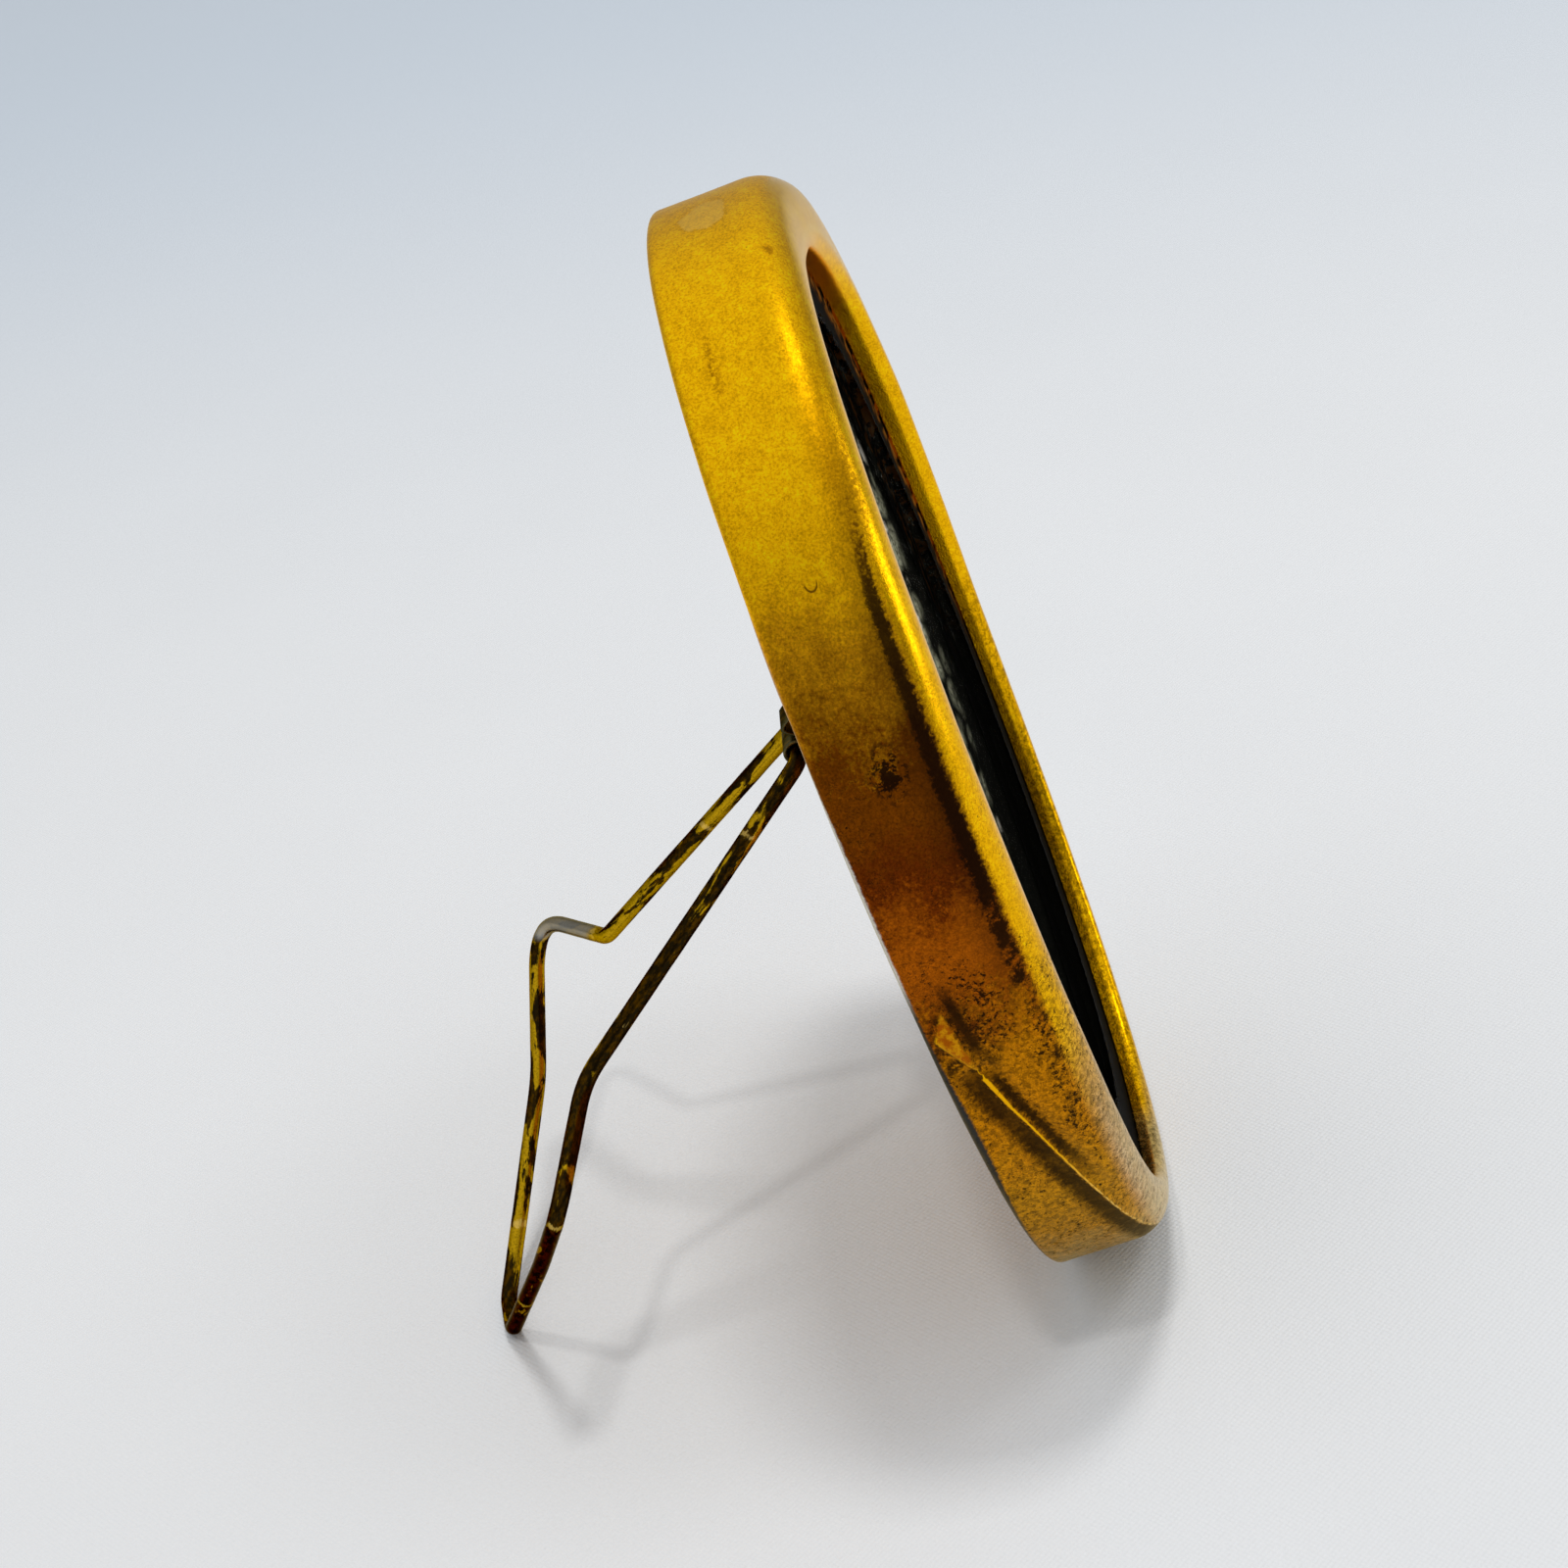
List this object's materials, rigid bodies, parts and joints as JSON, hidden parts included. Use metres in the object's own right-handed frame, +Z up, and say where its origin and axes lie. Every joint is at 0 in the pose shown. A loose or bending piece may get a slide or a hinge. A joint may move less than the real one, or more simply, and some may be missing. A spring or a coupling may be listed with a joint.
{
  "type": "oval picture frame",
  "caption": "Small oval tabletop picture frame of pressed sheet brass with glass, a print, packing cards and a back plate, standing on a folding wire easel.",
  "frame": {"origin": "middle of the small worn flat under the rim, on which the frame rests", "axes": "+Z up, the picture faces -Y and leans back, the easel stands towards +Y, X runs along the hinge axis"},
  "size_m": [0.08, 0.0751, 0.1194],
  "materials": {
    "rim_brass": "satin golden brass, grained, with brown patina towards the bottom",
    "glass": "clear, dusty",
    "print": null,
    "card": "plain brown card",
    "back_brass": "dull browned brass sheet",
    "hinge_brass": "worn greyish brass",
    "wire_brass": "dark patina with bright worn patches"
  },
  "bodies": {
    "frame": {"rim_shell": "rim_brass", "glass_pane": "glass", "picture_print": "print", "packing_card_front": "card", "packing_card_middle": "card", "packing_card_rear": "card", "back_plate": "back_brass", "hinge_strap": "hinge_brass", "hinge_rivet_upper": "hinge_brass", "hinge_rivet_lower": "hinge_brass"},
    "easel": {"easel_wire": "wire_brass"}
  },
  "joints": [
    {"name": "easel_fold", "type": "hinge", "parent": "frame", "child": "easel", "pos_m": [0, 0.01841, 0.0625], "axis": [-1, 0, 0], "range_deg": [0, 48]}
  ]
}
